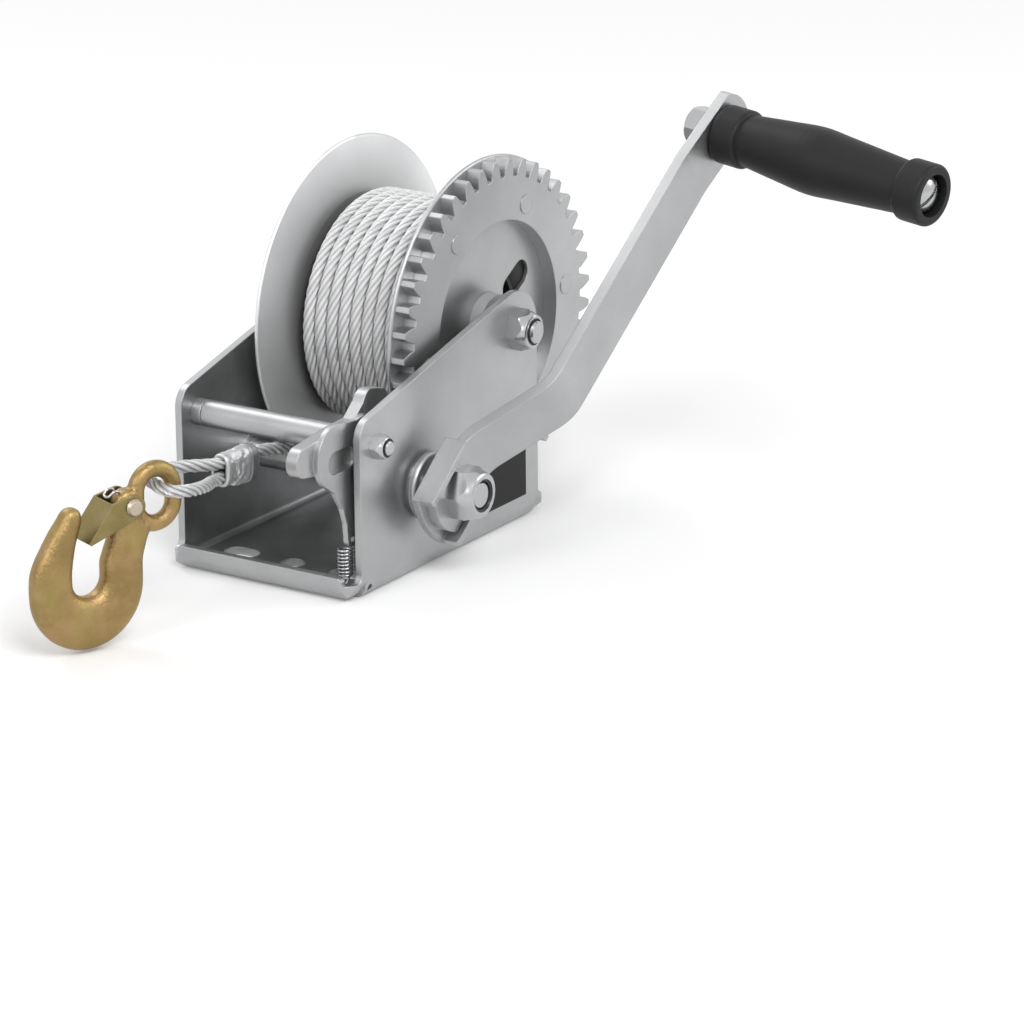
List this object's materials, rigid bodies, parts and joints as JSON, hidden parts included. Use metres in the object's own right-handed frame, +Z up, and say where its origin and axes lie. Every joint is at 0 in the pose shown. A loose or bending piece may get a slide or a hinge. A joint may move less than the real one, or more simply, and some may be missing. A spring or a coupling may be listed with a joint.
{
  "type": "boat trailer winch",
  "caption": "Hand-cranked boat trailer winch: pressed zinc-plated frame, geared drum of wire rope, ratchet pawl, latched hook, and a bent flat-bar crank with a turning grip.",
  "frame": {"origin": "on the base's underside, at mid-length and on the mid-plane between the side plates", "axes": "+Z up from the base, -X the way the rope pulls, -Y the side of the crank and gear"},
  "size_m": [0.2889, 0.2185, 0.148],
  "materials": {
    "zinc": "satin zinc plating",
    "fastener": "bright zinc plating",
    "dark_steel": "oiled steel",
    "rope": "galvanised wire rope",
    "ferrule": "pressed",
    "hook": "yellow zinc plating",
    "latch": "yellow zinc plating",
    "grip": "moulded, satin",
    "nylon": "nylon",
    "label": "blank sticker"
  },
  "bodies": {
    "frame": {"frame": "zinc", "label_plate": "label", "axle_bolt": "fastener", "axle_nut": "fastener", "axle_sleeve": "dark_steel", "drum_spacers": "dark_steel", "spacer_tube": "zinc", "spacer_collar": "zinc", "spacer_bolt": "fastener", "spacer_nut": "fastener", "pawl_bush": "dark_steel", "pawl_spring": "fastener", "near_shaft_bush": "zinc", "far_shaft_bush": "zinc", "frame_nut_inserts": "nylon", "rope_free": "rope", "ferrule": "ferrule"},
    "drum": {"drum_hub": "zinc", "drum_barrel": "zinc", "near_flange": "zinc", "far_flange": "zinc", "drum_gear": "zinc", "gear_rivets": "fastener", "rope_core": "rope", "rope_winding": "rope", "rope_clamp": "fastener", "clamp_screws": "fastener"},
    "crank": {"drive_shaft": "fastener", "pinion": "dark_steel", "shaft_clip": "dark_steel", "drive_bracket": "zinc", "crank_arm": "zinc", "crank_nut": "fastener", "crank_nut_insert": "nylon", "grip_bolt": "fastener", "grip_nut": "fastener"},
    "grip": {"grip": "grip"},
    "pawl": {"pawl": "zinc"},
    "hook": {"hook": "hook", "latch_rivet": "fastener", "latch_spring": "fastener"},
    "latch": {"hook_latch": "latch"}
  },
  "joints": [
    {"name": "drum_spin", "type": "hinge", "parent": "frame", "child": "drum", "pos_m": [0.0416, 0, 0.0723], "axis": [0, 1, 0], "continuous": true},
    {"name": "crank_spin", "type": "hinge", "parent": "frame", "child": "crank", "pos_m": [-0.01666, 0, 0.0312], "axis": [0, 1, 0], "continuous": true},
    {"name": "grip_spin", "type": "hinge", "parent": "crank", "child": "grip", "pos_m": [0.1104, -0.08039, 0.13373], "axis": [0.1083, 0.9903, 0.0874], "continuous": true},
    {"name": "pawl_pivot", "type": "hinge", "parent": "frame", "child": "pawl", "pos_m": [-0.0453, 0, 0.053], "axis": [0, 1, 0], "range_deg": [0, 16], "deforming": ["pawl_spring"]},
    {"name": "hook_swing", "type": "hinge", "parent": "frame", "child": "hook", "pos_m": [-0.118, 0, 0.0528], "axis": [0.3746, 0.9272, 0], "range_deg": [-18, 40]},
    {"name": "latch_pivot", "type": "hinge", "parent": "hook", "child": "latch", "pos_m": [-0.1295, 0.00464, 0.0489], "axis": [-0.3746, -0.9272, 0], "range_deg": [0, 30], "stiffness_Nm_per_rad": 0.02, "springref_deg": -11.46}
  ],
  "couplings": [
    {"joint": "crank_spin", "follows": "drum_spin", "ratio": -4.1}
  ]
}
